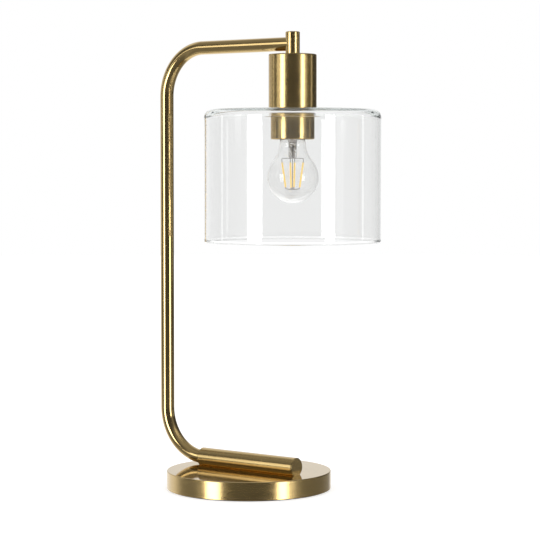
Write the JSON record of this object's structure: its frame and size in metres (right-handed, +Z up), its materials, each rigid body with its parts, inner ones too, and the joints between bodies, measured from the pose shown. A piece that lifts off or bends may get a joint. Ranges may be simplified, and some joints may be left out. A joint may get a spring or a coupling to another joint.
{
  "type": "arc table lamp",
  "caption": "Table lamp with a bent tube rising from a bar on a round weighted base to a cup, a clear glass cylinder shade clamped below it and a clear filament bulb.",
  "frame": {"origin": "centre of the round base's underside, on the table", "axes": "+Z up, +X from the upright towards the shade's axis, so the whole lamp is mirror-symmetric about the XZ plane apart from its small screws"},
  "size_m": [0.3003, 0.2034, 0.533],
  "materials": {
    "lamp_brass": "brushed antique",
    "raw_brass": "turned",
    "cast_iron": "as cast, primed",
    "foot_pad": "matt foam",
    "black_plastic": "moulded",
    "sheath": "matt",
    "porcelain": "unglazed",
    "zinc_steel": "zinc plated",
    "clear_glass": "clear, polished",
    "bulb_clear_glass": "clear, blown",
    "cap_metal": "pressed",
    "cap_insulator": "vitrified",
    "silicone": "translucent",
    "phosphor": "matt coated",
    "circuit_board": "board with parts"
  },
  "bodies": {
    "stand": {"base_shell": "lamp_brass", "base_weight": "cast_iron", "base_pad": "foot_pad", "cord_bush": "black_plastic", "terminal_block": "porcelain", "block_screws": "raw_brass", "base_bar": "lamp_brass", "bar_screws": "zinc_steel", "bar_washers": "zinc_steel", "tube_set_screw": "zinc_steel", "arc_tube": "lamp_brass", "inner_lead": "sheath", "stem": "lamp_brass", "stem_cap": "lamp_brass", "nipple": "raw_brass", "holder_cup": "lamp_brass", "lock_washer": "zinc_steel", "lock_nut": "raw_brass", "holder_cap": "black_plastic", "holder_core": "porcelain", "terminal_screws": "raw_brass", "screw_shell": "raw_brass", "centre_contact": "raw_brass", "holder_shell": "black_plastic"},
    "shade": {"glass_shade": "clear_glass"},
    "ring": {"shade_ring": "lamp_brass", "flange_washer": "silicone"},
    "bulb": {"bulb_glass": "bulb_clear_glass", "bulb_cap": "cap_metal", "bulb_insulator": "cap_insulator", "bulb_contact": "cap_metal", "bulb_stem": "bulb_clear_glass", "bulb_leads": "zinc_steel", "bulb_filaments": "phosphor", "bulb_driver": "circuit_board"}
  },
  "joints": [
    {"name": "shade_drop", "type": "slide", "parent": "stand", "child": "shade", "axis": [0, 0, -1], "range_m": [0, 0.01]},
    {"name": "ring_turn", "type": "hinge", "parent": "shade", "child": "ring", "pos_m": [0.0645, 0, 0.42], "axis": [0, 0, -1], "range_deg": [0, 1440]},
    {"name": "bulb_out", "type": "slide", "parent": "stand", "child": "bulb", "axis": [0, 0, -1], "range_m": [0, 0.16]}
  ],
  "couplings": [
    {"joint": "shade_drop", "follows": "ring_turn", "m_per_rad": 0.00039789}
  ]
}
